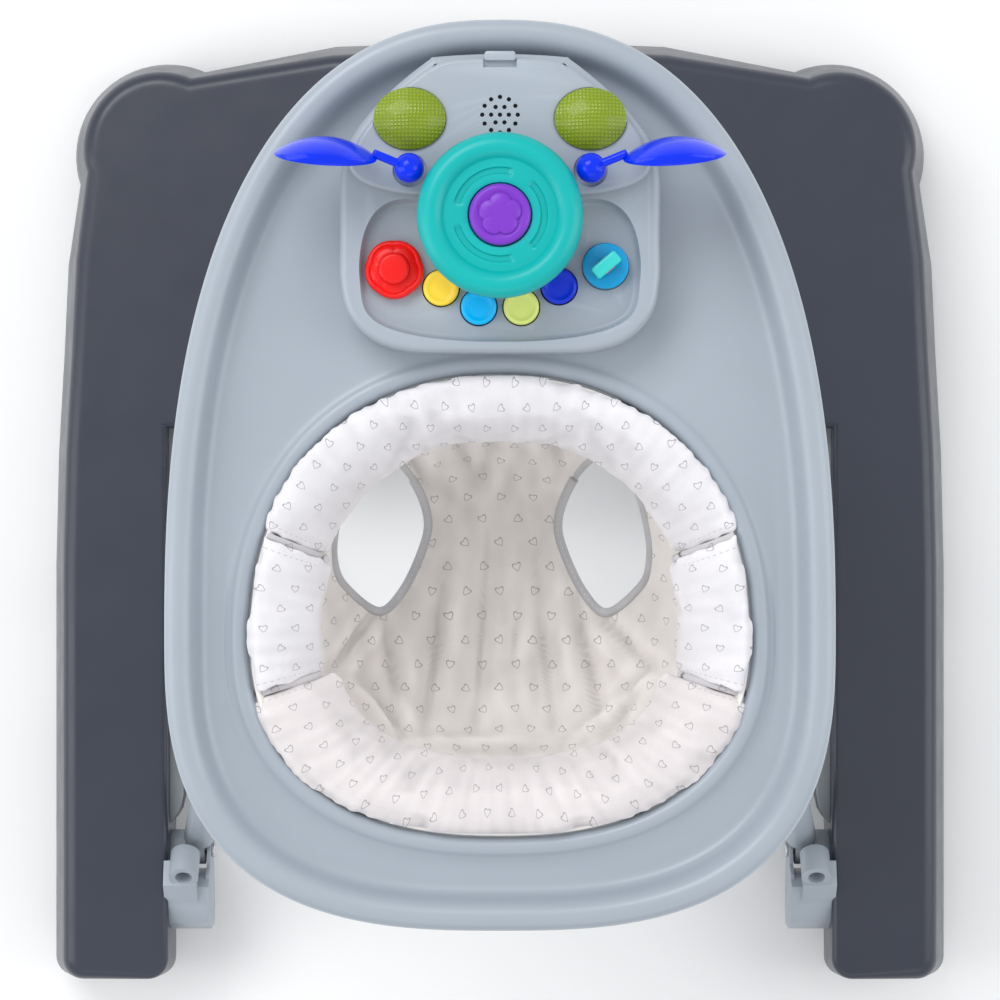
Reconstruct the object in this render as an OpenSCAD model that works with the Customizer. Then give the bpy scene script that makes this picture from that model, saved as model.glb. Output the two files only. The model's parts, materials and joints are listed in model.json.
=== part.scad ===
// Folding baby walker: U-shaped wheeled base, scissor frame, egg-shaped tray with a toy panel and a
// hanging fabric seat. Millimetres. +X is the walker's right, +Y its front, +Z up; it stands on z = 0.

/* [Base] */
// Overall length, front to rear
base_length = 679; // [660:1:700]
// Width across the top of the base
base_top_w = 618; // [606:1:630]
// How far the outer walls flare out from top to bottom
base_flare = 14; // [8:1:16]
// Height of the base's top above the floor
base_top_z = 90; // [86:1:94]
// Height of the base's lower edge above the floor
base_bottom_z = 30; // [26:1:34]
// Wall thickness of the moulded shells
wall = 3; // [2:0.5:4]
// Width of the gap between the two arms
arm_gap = 480; // [470:2:484]
// Y of the front plate's rear edge
plate_rear_y = 60; // [50:1:70]
// Radius of the rounded lobe at each front corner
lobe_r = 51.5; // [46:0.5:54]

/* [Frame] */
// Outer radius of the frame tubes
tube_r = 8; // [7:0.5:9]
// Height of the rear and the sliding pivots above the floor
pivot_z = 60; // [58:1:62]
// Y of the rear pivots
pivot_y = -245; // [-250:1:-240]
// Tube length below the centre pivot
lower_half = 224; // [220:1:228]
// Tube length above the centre pivot
upper_half = 203; // [200:1:206]
// Angle of the tubes above the horizontal when the walker stands open
open_angle = 52; // [50:1:53]
// Angle of the tubes when the walker is folded
fold_angle = 10; // [10:1:14]

/* [Tray] */
// Half of the tray's width
tray_half_w = 203; // [198:1:206]
// Y of the tray's front end
tray_front_y = 297; // [290:1:300]
// Y of the tray's rear end
tray_rear_y = -254; // [-258:1:-250]
// Height of the tray's rim above the floor
tray_rim_z = 450; // [446:1:456]
// Height of the tray's surface above the floor
tray_floor_z = 428; // [426:1:432]
// Half of the seat opening's width
opening_half_w = 155; // [150:1:156]

/* [Seat] */
// Height of the seat's lowest point above the floor
seat_bottom_z = 277; // [275:1:300]
// Thickness of the padded fabric
seat_wall = 8; // [6:0.5:10]

/* [Casters] */
// Wheel radius
wheel_r = 20; // [18:1:20]
// Distance of the wheel axle behind the swivel axis
trail = 12; // [8:1:12]

/* [Panel] */
// Height of the panel's upper plateau above the floor
panel_top_z = 470; // [468:1:474]
// Height of the floor of the panel's recess
recess_z = 454; // [452:1:456]
// Radius of the toy steering wheel
steering_r = 49.4; // [46:0.2:50]
// Radius of the note buttons
button_r = 10.8; // [9:0.2:11]
// Travel of the note buttons
button_travel = 2; // [1:0.5:3]

/* [Push handle sockets] */
// Radius of the socket bores
socket_r = 6; // [5:0.5:7]
// Depth of the socket bores
socket_depth = 18; // [12:1:20]

/* [Hidden] */
$fn = 64;
fit = 0.05;
gap = 0.4;
eps = 0.01;

rear_y = -base_length / 2;
front_y = base_length / 2;
arm_x = arm_gap / 2;
plate_z = base_top_z - wall;

// Kinematic points of the scissor frame, in the YZ plane at the open position
bar = lower_half + upper_half;
centre_y = pivot_y + lower_half * cos(open_angle);
centre_z = pivot_z + lower_half * sin(open_angle);
glide_y = pivot_y + 2 * lower_half * cos(open_angle);
glide_fold_y = pivot_y + 2 * lower_half * cos(fold_angle);
tray_pivot_y = centre_y - upper_half * cos(open_angle);
tray_pivot_z = pivot_z + bar * sin(open_angle);
slide_y = centre_y + upper_half * cos(open_angle);
slide_fold_y = tray_pivot_y + 2 * upper_half * cos(fold_angle);

// Sideways places of the frame's ends
leg_low_x = 219.5;
leg_high_x = 142;
strut_low_x = 190;
strut_high_x = 104;
leg_low = [leg_low_x, pivot_y, pivot_z];
leg_high = [leg_high_x, slide_y, tray_pivot_z];
strut_low = [strut_low_x, glide_y, pivot_z];
strut_high = [strut_high_x, tray_pivot_y, tray_pivot_z];
centre_share = lower_half / bar;
leg_centre_x = leg_low_x + (leg_high_x - leg_low_x) * centre_share;
strut_centre_x = strut_low_x + (strut_high_x - strut_low_x) * centre_share;

pin_r = 4;
hub_r = 12;
hub_w = 13;
glide_r = 11.7;
tube_wall = 1.2;
sleeve_start = 15.5;
sleeve_end = 74;
tube_start = 18.5;
neck_r = 5.5;
strut_neck_r = 4.5;

rail_w = 12;
rail_t = 2.5;
rail_end_y = glide_fold_y + glide_r + 16;

front_caster = [245, 270];
rear_caster = [280, -292];

opening_front_y = 85;
opening_rear_y = -201;
opening_mid_y = -78;
tray_mid_y = -75;
tray_wall = 3;

socket_x = 225;
socket_y = -262;
socket_z = 104;

column_y = 175;
lens_x = 54;
lens_y = 234;
knob_x = 63.5;
knob_y = 145;
key_x = 63.5;
key_y = 147;
ball_x = 54;
ball_y = 203.5;
ball_z = 482;
mirror_x = 103;
mirror_y = 211;
mirror_z = 492;
note_places = [[-35.5, 134], [-12.8, 122.5], [12.8, 122.5], [35.5, 135]];

dark_grey = [0.27, 0.29, 0.34];
warm_grey = [0.56, 0.57, 0.58];
light_grey = [0.66, 0.70, 0.73];
steel = [0.75, 0.76, 0.78];
black_plastic = [0.15, 0.15, 0.16];
mirror_blue = [0.05, 0.2, 0.9];
turquoise = [0, 0.8, 0.76];

// ---- helpers ----

function mix(a, b, t) = a + (b - a) * t;
function arc(c, r, from, to, n) =
    [for (i = [0:n]) let (a = mix(from, to, i / n)) c + r * [cos(a), sin(a)]];
function mirrored(p) = concat(p, [for (i = [len(p) - 1:-1:0]) if (p[i].x > eps) [-p[i].x, p[i].y]]);
function unit(v) = v / norm(v);

// Moves every point of a clockwise outline inwards by d
function inset(p, d) = let (n = len(p)) [for (i = [0:n - 1])
    let (u = unit(p[i] - p[(i + n - 1) % n]), v = unit(p[(i + 1) % n] - p[i]),
         m = unit([u.y + v.y, -u.x - v.x]))
    p[i] + m * d / max(0.5, m * [u.y, -u.x])];

// One point of a rounded egg: two superellipse halves that share a width
function egg_point(a, half_w, mid, front, rear, n_front, n_rear) =
    let (n = cos(a) > 0 ? n_front : n_rear, reach = cos(a) > 0 ? front - mid : mid - rear,
         s = sign(sin(a)) * pow(abs(sin(a)), 2 / n), c = sign(cos(a)) * pow(abs(cos(a)), 2 / n))
    [half_w * s, mid + reach * c];
function egg(half_w, mid, front, rear, n_front = 2.4, n_rear = 2.8, count = 72) =
    [for (i = [0:count - 1]) egg_point(360 * i / count, half_w, mid, front, rear, n_front, n_rear)];
function ring3(p, z) = [for (q = p) [q.x, q.y, z]];

// Closed solid through a stack of clockwise outlines that all have the same number of points
module loft(rings) {
    n = len(rings[0]);
    last = len(rings) - 1;
    points = [for (r = rings) for (q = r) q];
    sides = [for (k = [0:last - 1]) for (i = [0:n - 1])
        [k * n + i, k * n + (i + 1) % n, (k + 1) * n + (i + 1) % n, (k + 1) * n + i]];
    bottom = [for (i = [n - 1:-1:0]) i];
    top = [for (i = [0:n - 1]) last * n + i];
    polyhedron(points, concat(sides, [bottom], [top]));
}

// Round bar between two stations, in mm, along the line from a towards b
module rod(a, b, r, from, to) {
    d = b - a;
    translate(a) rotate([0, acos(d.z / norm(d)), atan2(d.y, d.x)])
        translate([0, 0, from]) cylinder(r = r, h = to - from);
}

// Cylinder along X between two x values
module pin_x(x0, x1, y, z, r) translate([x0, y, z]) rotate([0, 90, 0]) cylinder(r = r, h = x1 - x0);

module both_sides() {
    children();
    mirror([1, 0, 0]) children();
}

// Profile in the YZ plane, given as [y, z] points, thickened from x0 to x1
module side_plate(x0, x1, profile)
    translate([x0, 0, 0]) rotate([90, 0, 90]) linear_extrude(x1 - x0) polygon(profile);

// ---- base ----

// Right half of the base outline at height share k: 0 at the lower edge, 1 at the top
function base_half(k) =
    let (f = base_flare * (1 - k), side_x = base_top_w / 2, tail = 12)
    concat(
        [[0, front_y - 13.5 * k], [60, front_y - 0.9 - 13.5 * k], [120, front_y - 3 - 15 * k]],
        arc([243, 258], lobe_r + f, 114, -18, 14),
        [[side_x - 9 + f, 178], [side_x - 6 + f, 113], [side_x - 2 + f, 42], [side_x + f, -40]],
        arc([side_x - tail + f, rear_y + tail + 6 * k], tail, 0, -90, 5),
        arc([arm_x + tail, rear_y + tail + 6 * k], tail, 270, 180, 5),
        [[arm_x, plate_rear_y], [0, plate_rear_y]]);
function base_outline(k, d = 0) = inset(mirrored(base_half(k)), d);

// Wall that runs round the base and leaves the front plate's rear edge open
module base_skirt() color(dark_grey) {
    low = base_outline(0);
    low_in = base_outline(0, wall);
    top = base_outline(1);
    top_in = base_outline(1, wall);
    rear_mid = len(base_half(0)) - 1;
    n = len(low) - 1;
    points = [for (k = [0:n - 1]) let (i = (rear_mid + 1 + k) % (n + 1)) each [
        [low[i].x, low[i].y, base_bottom_z], [top[i].x, top[i].y, plate_z],
        [top_in[i].x, top_in[i].y, plate_z], [low_in[i].x, low_in[i].y, base_bottom_z]]];
    faces = [for (k = [0:n - 2]) for (j = [0:3]) let (a = 4 * k + j, b = 4 * k + (j + 1) % 4) each [
        [a, a + 4, b + 4], [a, b + 4, b]]];
    last = 4 * (n - 1);
    polyhedron(points, concat(faces, [[0, 1, 2, 3]], [[last + 3, last + 2, last + 1, last]]));
}

// Top plate with the slots that let the struts swing through it, and the ribs that carry the rails
module base_shell() color(dark_grey) {
    difference() {
        slab(base_outline(1), plate_z, base_top_z);
        both_sides() translate([strut_low_x - 40, plate_rear_y - 1, 0])
            cube([48, 76, base_top_z + 1]);
    }
    both_sides() translate([arm_x, plate_rear_y + wall + 1, pivot_z - 16])
        cube([wall, rail_end_y - plate_rear_y - wall - 1, plate_z - pivot_z + 17]);
}

module rail_right() color(warm_grey) {
    top = pivot_z + glide_r + 0.3;
    low = pivot_z - glide_r - 0.3;
    inner = arm_x - rail_w;
    start = pivot_y + 19;
    translate([0, rail_end_y, 0]) rotate([90, 0, 0]) linear_extrude(rail_end_y - start)
        polygon([[arm_x, low - rail_t], [arm_x, top + rail_t], [inner, top + rail_t], [inner, top],
            [arm_x - rail_t, top], [arm_x - rail_t, low], [inner, low], [inner, low - rail_t]]);
}

// Bracket on the arm: shoe, clevis for the leg's hub and slanted socket
module rear_bracket_right() color(light_grey) {
    inner_x = 208.5;
    outer_cheek_x = leg_low_x + hub_w / 2 + gap;
    inner_cheek_x = leg_low_x - hub_w / 2 - gap - 1.5;
    cheek = [[-303, 40], [-303, 66], [-297, 80], [-284, 88], [-262, 84], [-256, 74], [-245, 73],
        [-237, 69], [-232, 60], [-237, 51], [-245, 47], [-262, 42], [-290, 34]];
    shoe = [[-303, 40], [-303, 66], [-297, 80], [-284, 88], [-270, 92], [-262, 80], [-262, 42],
        [-290, 34]];
    difference() {
        union() {
            side_plate(outer_cheek_x, arm_x, cheek);
            side_plate(inner_x, inner_cheek_x, cheek);
            side_plate(inner_x, arm_x, shoe);
            side_plate(socket_x - 9, arm_x, [[-284, 86], [-264, 84], [-251, 86], [-251, 94], [-268, 100]]);
            translate([socket_x, socket_y, socket_z]) rotate([45, 0, 0])
                translate([0, 0, -socket_depth - 4]) cylinder(r = 10.5, h = socket_depth + 4);
        }
        translate([socket_x, socket_y, socket_z]) rotate([45, 0, 0])
            translate([0, 0, -socket_depth]) cylinder(r = socket_r, h = socket_depth + 20);
        pin_x(inner_x - 1, arm_x + 1, pivot_y, pivot_z, pin_r + 1);
        both_screws() cylinder(r = 2, h = 40, center = true);
    }
}

// Places of the two screws that hold a bracket to the arm
module both_screws() for (z = [52, 74]) translate([arm_x, -284, z]) rotate([0, 90, 0]) children();

module rear_pivot_pins() color(steel) both_sides() {
    pin_x(209.5, arm_x, pivot_y, pivot_z, pin_r + 1);
    pin_x(206, 208.5, pivot_y, pivot_z, 7);
    pin_x(208.5, 209.5, pivot_y, pivot_z, pin_r + 1);
}

module bracket_screws() color(steel) both_sides() both_screws() {
    translate([0, 0, -14]) cylinder(r = 2, h = 14 + wall + 2);
    translate([0, 0, wall]) cylinder(r = 3.6, h = 3);
}

module at_casters() both_sides() {
    translate([front_caster.x, front_caster.y, 0]) children();
    translate([rear_caster.x, rear_caster.y, 0]) children();
}

stem_r = 5;
stem_top = 78;
socket_low = 48;
module caster_sockets() color(black_plastic) at_casters() difference() {
    translate([0, 0, socket_low]) cylinder(r = 13, h = plate_z - socket_low);
    translate([0, 0, socket_low - 1]) cylinder(r = stem_r + fit, h = stem_top - socket_low + 2);
}

module grip_pads() color(black_plastic) both_sides() {
    for (y = [-200, -90]) translate([arm_x + 22, y, 10]) {
        cube([30, 50, base_top_z - 50]);
        translate([0, 0, -2]) cube([30, 50, 2]);
        translate([12, 22, base_top_z - 50]) cube([6, 6, plate_z - base_top_z + 40]);
    }
    translate([70, 280, 8]) cube([60, 26, base_top_z - 50]);
    translate([96, 290, 8]) cube([6, 6, plate_z - 8]);
}

// ---- casters: the wheel trails behind the swivel axis ----

fork_top = socket_low - 0.5;
stem_low = 2 * wheel_r + 1;
wheel_w = 9;
cheek_w = 6;
module caster_at(c) translate([c.x, c.y, 0]) children();

module fork(c) color(black_plastic) caster_at(c) difference() {
    union() {
        translate([0, 0, wheel_r * 2 + 1]) cylinder(r = 12, h = fork_top - wheel_r * 2 - 1);
        translate([-cheek_w / 2, -trail, wheel_r - 5]) cube([cheek_w, trail + 7, fork_top - wheel_r + 5]);
        pin_x(-cheek_w / 2, cheek_w / 2, -trail, wheel_r, 6.5);
    }
    translate([0, 0, stem_low]) cylinder(r = stem_r, h = 40);
    pin_x(-20, 20, -trail, wheel_r, 2.5);
}

module spindle(c) color(steel) caster_at(c) {
    translate([0, 0, stem_low]) cylinder(r = stem_r, h = stem_top - stem_low);
    pin_x(-cheek_w / 2 - wheel_w, cheek_w / 2 + wheel_w, -trail, wheel_r, 2.5);
}

module wheel_pair(c) color(dark_grey) caster_at(c) translate([0, -trail, wheel_r]) for (s = [-1, 1])
    translate([s * (cheek_w / 2 + 0.5 + wheel_w / 2), 0, 0]) rotate([0, 90, 0]) difference() {
        rotate_extrude() polygon([[0, -wheel_w / 2], [wheel_r - 2, -wheel_w / 2], [wheel_r, -wheel_w / 2 + 2],
            [wheel_r, wheel_w / 2 - 2], [wheel_r - 2, wheel_w / 2], [0, wheel_w / 2]]);
        cylinder(r = 2.5 + fit, h = wheel_w + 2, center = true);
    }

front_left = [-front_caster.x, front_caster.y];
rear_left = [-rear_caster.x, rear_caster.y];

// ---- scissor frame ----

module tube(a, b, from, to) difference() {
    rod(a, b, tube_r, from, to);
    rod(a, b, tube_r - tube_wall, from - 1, to + 1);
}

leg_len = norm(leg_high - leg_low);
strut_len = norm(strut_high - strut_low);

module leg_tube_right() color(steel) difference() {
    tube(leg_low, leg_high, tube_start, leg_len + 9);
    pin_x(leg_centre_x - 20, leg_centre_x + 20, centre_y, centre_z, pin_r + fit);
    pin_x(leg_high_x - 20, leg_high_x + 20, slide_y, tray_pivot_z, pin_r);
}

module knuckle_right() color(light_grey) difference() {
    union() {
        pin_x(leg_low_x - hub_w / 2, leg_low_x + hub_w / 2, pivot_y, pivot_z, hub_r);
        rod(leg_low, leg_high, neck_r, 2, sleeve_start + 1);
        rod(leg_low, leg_high, tube_r + 3, sleeve_start, sleeve_end);
    }
    rod(leg_low, leg_high, tube_r, tube_start, sleeve_end + 1);
    pin_x(leg_low_x - 20, leg_low_x + 20, pivot_y, pivot_z, pin_r + 1 + fit);
}

channel_x = leg_high_x - 11;
module leg_glides() color(black_plastic) both_sides() {
    pin_x(channel_x - 10.5, leg_high_x + tube_r + 3, slide_y, tray_pivot_z, pin_r);
    pin_x(channel_x - 10.5, channel_x - 4.5, slide_y, tray_pivot_z, 9.5);
}

module strut_tube_right() color(steel) difference() {
    tube(strut_low, strut_high, tube_start, strut_len - tube_start);
    pin_x(strut_centre_x - 20, strut_centre_x + 20, centre_y, centre_z, pin_r);
}

// The cross bar joins the sleeves just below the struts' heads, out of the child's way
crossbar = strut_high + unit(strut_low - strut_high) * 27;
crossbar_end = crossbar.x - tube_r - 4;
module strut_crossbar() color(steel) difference() {
    pin_x(-crossbar_end, crossbar_end, crossbar.y, crossbar.z, tube_r);
    pin_x(-crossbar_end - 1, crossbar_end + 1, crossbar.y, crossbar.z, tube_r - tube_wall);
}

// Plastic ends of the struts: a foot on the glide pin, and a head with the hub and the cross bar's plug
module strut_ends() color(black_plastic) both_sides() {
    difference() {
        union() {
            pin_x(strut_low_x - 8, strut_low_x + 7, glide_y, pivot_z, hub_r - 1);
            rod(strut_low, strut_high, tube_r + 1.6, 4, tube_start + 26);
        }
        rod(strut_low, strut_high, tube_r, tube_start, strut_len);
        pin_x(strut_low_x - 5, strut_low_x + 60, glide_y, pivot_z, pin_r);
    }
    difference() {
        union() {
            pin_x(strut_high_x - hub_w / 2, strut_high_x + hub_w / 2, tray_pivot_y, tray_pivot_z, hub_r - 1);
            rod(strut_low, strut_high, strut_neck_r, strut_len - 16, strut_len - 2);
            rod(strut_low, strut_high, tube_r + 1.6, strut_len - 40, strut_len - 15);
            pin_x(crossbar_end, crossbar.x - tube_r + 1, crossbar.y, crossbar.z, tube_r + 1);
            pin_x(crossbar_end - 15, crossbar_end + 1, crossbar.y, crossbar.z, tube_r - tube_wall - 0.1);
        }
        rod(strut_low, strut_high, tube_r, 0, strut_len - tube_start);
        pin_x(strut_high_x - 20, strut_high_x + 20, tray_pivot_y, tray_pivot_z, pin_r + fit);
    }
}

module strut_glides() color(light_grey) both_sides() {
    pin_x(strut_low_x - 5, arm_x - rail_t - 1, glide_y, pivot_z, pin_r);
    pin_x(arm_x - rail_t - 7, arm_x - rail_t - 1, glide_y, pivot_z, glide_r);
}

module centre_pins() color(steel) both_sides() {
    pin_x(strut_centre_x - tube_r - 3, leg_centre_x + tube_r + 3, centre_y, centre_z, pin_r);
    pin_x(strut_centre_x - tube_r - 5, strut_centre_x - tube_r - 3, centre_y, centre_z, 7);
    pin_x(leg_centre_x + tube_r + 3, leg_centre_x + tube_r + 5, centre_y, centre_z, 7);
    pin_x(strut_centre_x + tube_r + 3, leg_centre_x - tube_r - 3, centre_y, centre_z, 7);
}

// ---- tray ----

function tray_outline(d = 0) = egg(tray_half_w - d, tray_mid_y, tray_front_y - d, tray_rear_y + d, 2.42, 2.8);
function opening(d = 0) = egg(opening_half_w - d, opening_mid_y, opening_front_y - d, opening_rear_y + d, 2.2, 2.35);

module slab(outline, z0, z1) translate([0, 0, z0]) linear_extrude(z1 - z0) polygon(outline);

rim_w = 9;
module tray_shell() color(light_grey) difference() {
    union() {
        slab(tray_outline(rim_w - 1), tray_floor_z - tray_wall, tray_floor_z);
        slab(tray_outline(2), tray_floor_z - 16, tray_rim_z);
        slab(tray_outline(), tray_floor_z - 13, tray_floor_z - 10);
        slab(opening(-tray_wall - 1), tray_floor_z - 14, tray_floor_z + 4);
    }
    difference() {
        slab(tray_outline(2 + tray_wall), tray_floor_z - 17, tray_floor_z - tray_wall);
        slab(opening(-tray_wall - 1), tray_floor_z - 18, tray_floor_z);
    }
    difference() {
        slab(tray_outline(rim_w), tray_floor_z, tray_rim_z + 1);
        slab(opening(-tray_wall - 1), tray_floor_z - 1, tray_floor_z + 4);
    }
    slab(opening(), 0, tray_rim_z);
}

channel_w = 13;
channel_half_h = 9.8;
tray_under_z = tray_floor_z - tray_wall;
module tray_channel_right() color(black_plastic) {
    top = tray_pivot_z + channel_half_h;
    low = tray_pivot_z - channel_half_h;
    t = 2.2;
    start = slide_y - 16;
    end = slide_fold_y + 18;
    back = channel_x - channel_w;
    translate([0, end, 0]) rotate([90, 0, 0]) linear_extrude(end - start)
        polygon([[back, low - t], [back, top + t], [channel_x, top + t], [channel_x, top],
            [back + t, top], [back + t, low], [channel_x, low], [channel_x, low - t]]);
    for (y = [52, 110, end - 12]) translate([back + 2, y, top + t - 1])
        cube([6, 8, tray_under_z - top - t + 1]);
}

module tray_pivot_blocks() color(black_plastic) both_sides() {
    inner = strut_high_x - hub_w / 2 - gap;
    outer = strut_high_x + hub_w / 2 + gap;
    difference() {
        union() {
            for (x = [inner - 3, outer]) side_plate(x, x + 3, [[tray_pivot_y - 1, tray_under_z],
                [tray_pivot_y + 14, tray_under_z], [tray_pivot_y + 10, tray_pivot_z],
                [tray_pivot_y + 6, tray_pivot_z - 8], [tray_pivot_y - 6, tray_pivot_z - 8],
                [tray_pivot_y - 10, tray_pivot_z], [tray_pivot_y - 1, tray_pivot_z + 14]]);
            translate([inner - 3, tray_pivot_y - 1, tray_under_z - 5])
                cube([outer - inner + 6, 14, 5]);
        }
        pin_x(inner - 5, outer + 5, tray_pivot_y, tray_pivot_z, pin_r);
    }
}

module tray_pivot_pins() color(steel) both_sides() {
    pin_x(strut_high_x - 10, strut_high_x + 10, tray_pivot_y, tray_pivot_z, pin_r);
    pin_x(strut_high_x + 10, strut_high_x + 12, tray_pivot_y, tray_pivot_z, 6);
}

// ---- seat: padded sling with two leg holes ----

// Rows of [height, half width, front y, rear y] from the sling's bottom to the padded ring
seat_rows = [[seat_bottom_z, 62, 8, -118], [300, 96, 32, -148], [350, 117, 50, -168],
    [400, 128, 62, -178], [440, 151, 81, -197]];
module leg_hole(x) translate([x, 0, seat_bottom_z - 5]) linear_extrude(110)
    polygon(egg(27, -16, 36, -60, 2, 2, 40));

module seat() color([0.9, 0.89, 0.9]) difference() {
    loft([for (r = seat_rows) ring3(egg(r[1], opening_mid_y, r[2], r[3], 2.2, 2.35, 48), r[0])]);
    loft([for (i = [0:4]) let (r = seat_rows[i], d = seat_wall)
        ring3(egg(r[1] - d, opening_mid_y, r[2] - d, r[3] + d, 2.2, 2.35, 48),
            i == 0 ? r[0] + d : i == 4 ? r[0] + 1 : r[0] + 2)]);
    for (x = [-77, 77]) leg_hole(x);
}

module seat_clips() color(black_plastic) for (a = [30:60:330]) {
    p = egg_point(a, opening_half_w, opening_mid_y, opening_front_y, opening_rear_y, 2.2, 2.35);
    q = egg_point(a, 150, opening_mid_y, 80, -196, 2.2, 2.35);
    d = unit(p - q);
    translate([p.x, p.y, tray_floor_z - 24]) rotate(atan2(d.y, d.x)) translate([-24, -8, 0])
        cube([28, 16, 8]);
}

// ---- toy panel ----

function panel_outline(d = 0) = mirrored(concat([[0, 275 - d], [38 - d / 2, 273 - d], [60 - d / 2, 262 - d],
    [88 - d, 226 - d / 2], [96 - d, 205]], arc([52, 139], 44 - d, 0, -90, 10), [[0, 95 + d]]));
function recess_outline(d = 0) = mirrored(concat([[0, 180 - d], [40, 186 - d], [66, 190 - d], [78, 188 - d]],
    arc([74, 175], 10 - d, 60, 0, 4), arc([60, 135], 24 - d, 0, -70, 6), [[40, 109 + d], [0, 104 + d]]));

module panel_shell() color(light_grey) difference() {
    union() {
        slab(panel_outline(), tray_floor_z, recess_z + 8);
        intersection() {
            slab(panel_outline(3), recess_z, panel_top_z);
            translate([-100, 190, 0]) cube([200, 100, 600]);
        }
    }
    slab(recess_outline(), recess_z, panel_top_z + 1);
    slab(panel_outline(wall), tray_floor_z - 1, recess_z - wall);
    intersection() {
        slab(panel_outline(2 * wall), recess_z - wall - 1, panel_top_z - wall);
        translate([-100, 190 + wall, 0]) cube([200, 100, 600]);
    }
    translate([0, 0, tray_floor_z]) {
        translate([0, column_y, 0]) cylinder(r = 8 + fit, h = 60);
        translate([-knob_x, knob_y, 0]) cylinder(r = 4 + fit, h = 60);
        translate([key_x, key_y, 0]) cylinder(r = 3 + fit, h = 60);
        for (p = note_places) translate([p.x, p.y, 0]) cylinder(r = button_r + 0.1, h = 60);
    }
    translate([0, column_y, recess_z]) cylinder(r = 16.8, h = 30);
    speaker_holes();
    translate([-9.6, 265.8, panel_top_z - 2.6]) cube([19.2, 24, 10]);
}

module speaker_holes() translate([0, 236.5, recess_z - 10]) {
    cylinder(r = 1.3, h = 60);
    for (row = [1, 2]) for (i = [0:6 * row - 1]) rotate(60 * i / row)
        translate([5.3 * row, 0, 0]) cylinder(r = 1.3, h = 60, $fn = 16);
}

module panel_latch() color(light_grey) translate([-9.4, 269, panel_top_z - 2.5]) {
    cube([18.8, 5.8, 3.5]);
}

module light_lenses() color([0.55, 0.7, 0.15]) both_sides()
    translate([lens_x, lens_y, panel_top_z]) intersection() {
        linear_extrude(9) polygon(egg(21.5, 0, 18.5, -18.5, 2, 2, 48));
        translate([0, 0, 9 - 36]) sphere(r = 36);
    }

module speaker() color(black_plastic) translate([0, 236.5, panel_top_z - wall - 8]) {
    cylinder(r = 18, h = 8);
    translate([0, 0, -8]) cylinder(r = 10, h = 8);
}
board_top_z = tray_floor_z + 9.6;
module circuit_board() color([0.1, 0.4, 0.2]) {
    translate([-80, 112, board_top_z - 1.6]) cube([160, 26, 1.6]);
    for (x = [-74, 74]) for (y = [117, 133]) translate([x, y, tray_floor_z])
        cylinder(r = 3, h = board_top_z - 1.6 - tray_floor_z);
}
module battery_box() color(black_plastic) translate([22, 180, tray_floor_z]) cube([52, 30, 18]);

module steering_column() color(black_plastic) translate([0, column_y, 0]) {
    translate([0, 0, tray_floor_z + 14]) cylinder(r = 8, h = wheel_low + 7 - tray_floor_z - 14);
    translate([0, 0, recess_z + 0.5]) cylinder(r = 16, h = 24);
}

wheel_low = recess_z + 24.5;
module steering_wheel() color(turquoise) translate([0, column_y, 0]) difference() {
    union() {
        translate([0, 0, wheel_low]) cylinder(r = 34, h = 13);
        translate([0, 0, wheel_low + 9]) rotate_extrude() translate([steering_r - 9, 0]) circle(r = 9);
        translate([0, 0, wheel_low + 3]) cylinder(r = steering_r - 9, h = 8);
    }
    translate([0, 0, wheel_low - 1]) cylinder(r = 8, h = 40);
    translate([0, 0, wheel_low + 7]) cylinder(r = 18.5, h = 20);
}

module horn_button() color([0.55, 0.3, 0.85]) translate([0, column_y, wheel_low + 10.5]) {
    cylinder(r = 18.3, h = 5);
    intersection() {
        translate([0, 0, 5]) cylinder(r = 16.5, h = 3);
        translate([0, 0, 8 - 60]) sphere(r = 60);
    }
}

module flower_knob() color([0.95, 0.1, 0.06]) translate([-knob_x, knob_y, 0]) {
    translate([0, 0, recess_z + 0.5]) cylinder(r = 12, h = 9);
    for (i = [0:4]) rotate(72 * i + 18) translate([9.6, 0, recess_z + 0.5]) cylinder(r = 8.1, h = 8);
    translate([0, 0, recess_z + 9]) cylinder(r = 9.3, h = 5);
    translate([0, 0, tray_floor_z + 12]) cylinder(r = 4, h = 20);
}

module ignition_dial() color([0.05, 0.5, 0.75]) translate([key_x, key_y, recess_z]) difference() {
    cylinder(r = 13.8, h = 7);
    translate([0, 0, -1]) cylinder(r = 3 + fit, h = 20);
}
module ignition_key() color([0.2, 0.85, 0.8]) translate([key_x, key_y, 0]) {
    translate([0, 0, tray_floor_z + 12]) cylinder(r = 3, h = 24);
    rotate(40) translate([-9, -2.6, recess_z + 7.4]) cube([18, 5.2, 11]);
}

stem_z = board_top_z + button_travel + gap;
module note_button(i, shade) color(shade) translate([note_places[i].x, note_places[i].y, 0]) {
    translate([0, 0, recess_z - 6]) cylinder(r = button_r, h = 11);
    translate([0, 0, stem_z]) cylinder(r = 4, h = recess_z - 5 - stem_z);
}

// Mirror leans forward: its face looks to the rear and slightly down
mirror_tilt = 110;
module at_mirror() translate([mirror_x, mirror_y, mirror_z]) rotate([mirror_tilt, 0, 4]) children();

mirror_r = 30.5;
module mirror_right() color(mirror_blue) {
    difference() {
        at_mirror() intersection() {
            translate([0, 0, -9.5]) linear_extrude(11.5) polygon(egg(mirror_r, 0, 21, -21, 2, 2, 48));
            translate([0, 0, 49 - 9]) sphere(r = 49);
        }
        at_mirror() slab(egg(mirror_r - 3, 0, 18, -18, 2, 2, 48), 0, 10);
    }
    arm_end = [mirror_x - mirror_r + 2, mirror_y, mirror_z];
    rod([ball_x, ball_y, ball_z], arm_end, 2.6, 0, norm(arm_end - [ball_x, ball_y, ball_z]));
    translate([ball_x, ball_y, ball_z]) sphere(r = 9);
    translate([ball_x, ball_y, panel_top_z + 0.5]) cylinder(r = 6, h = 9);
}

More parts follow.
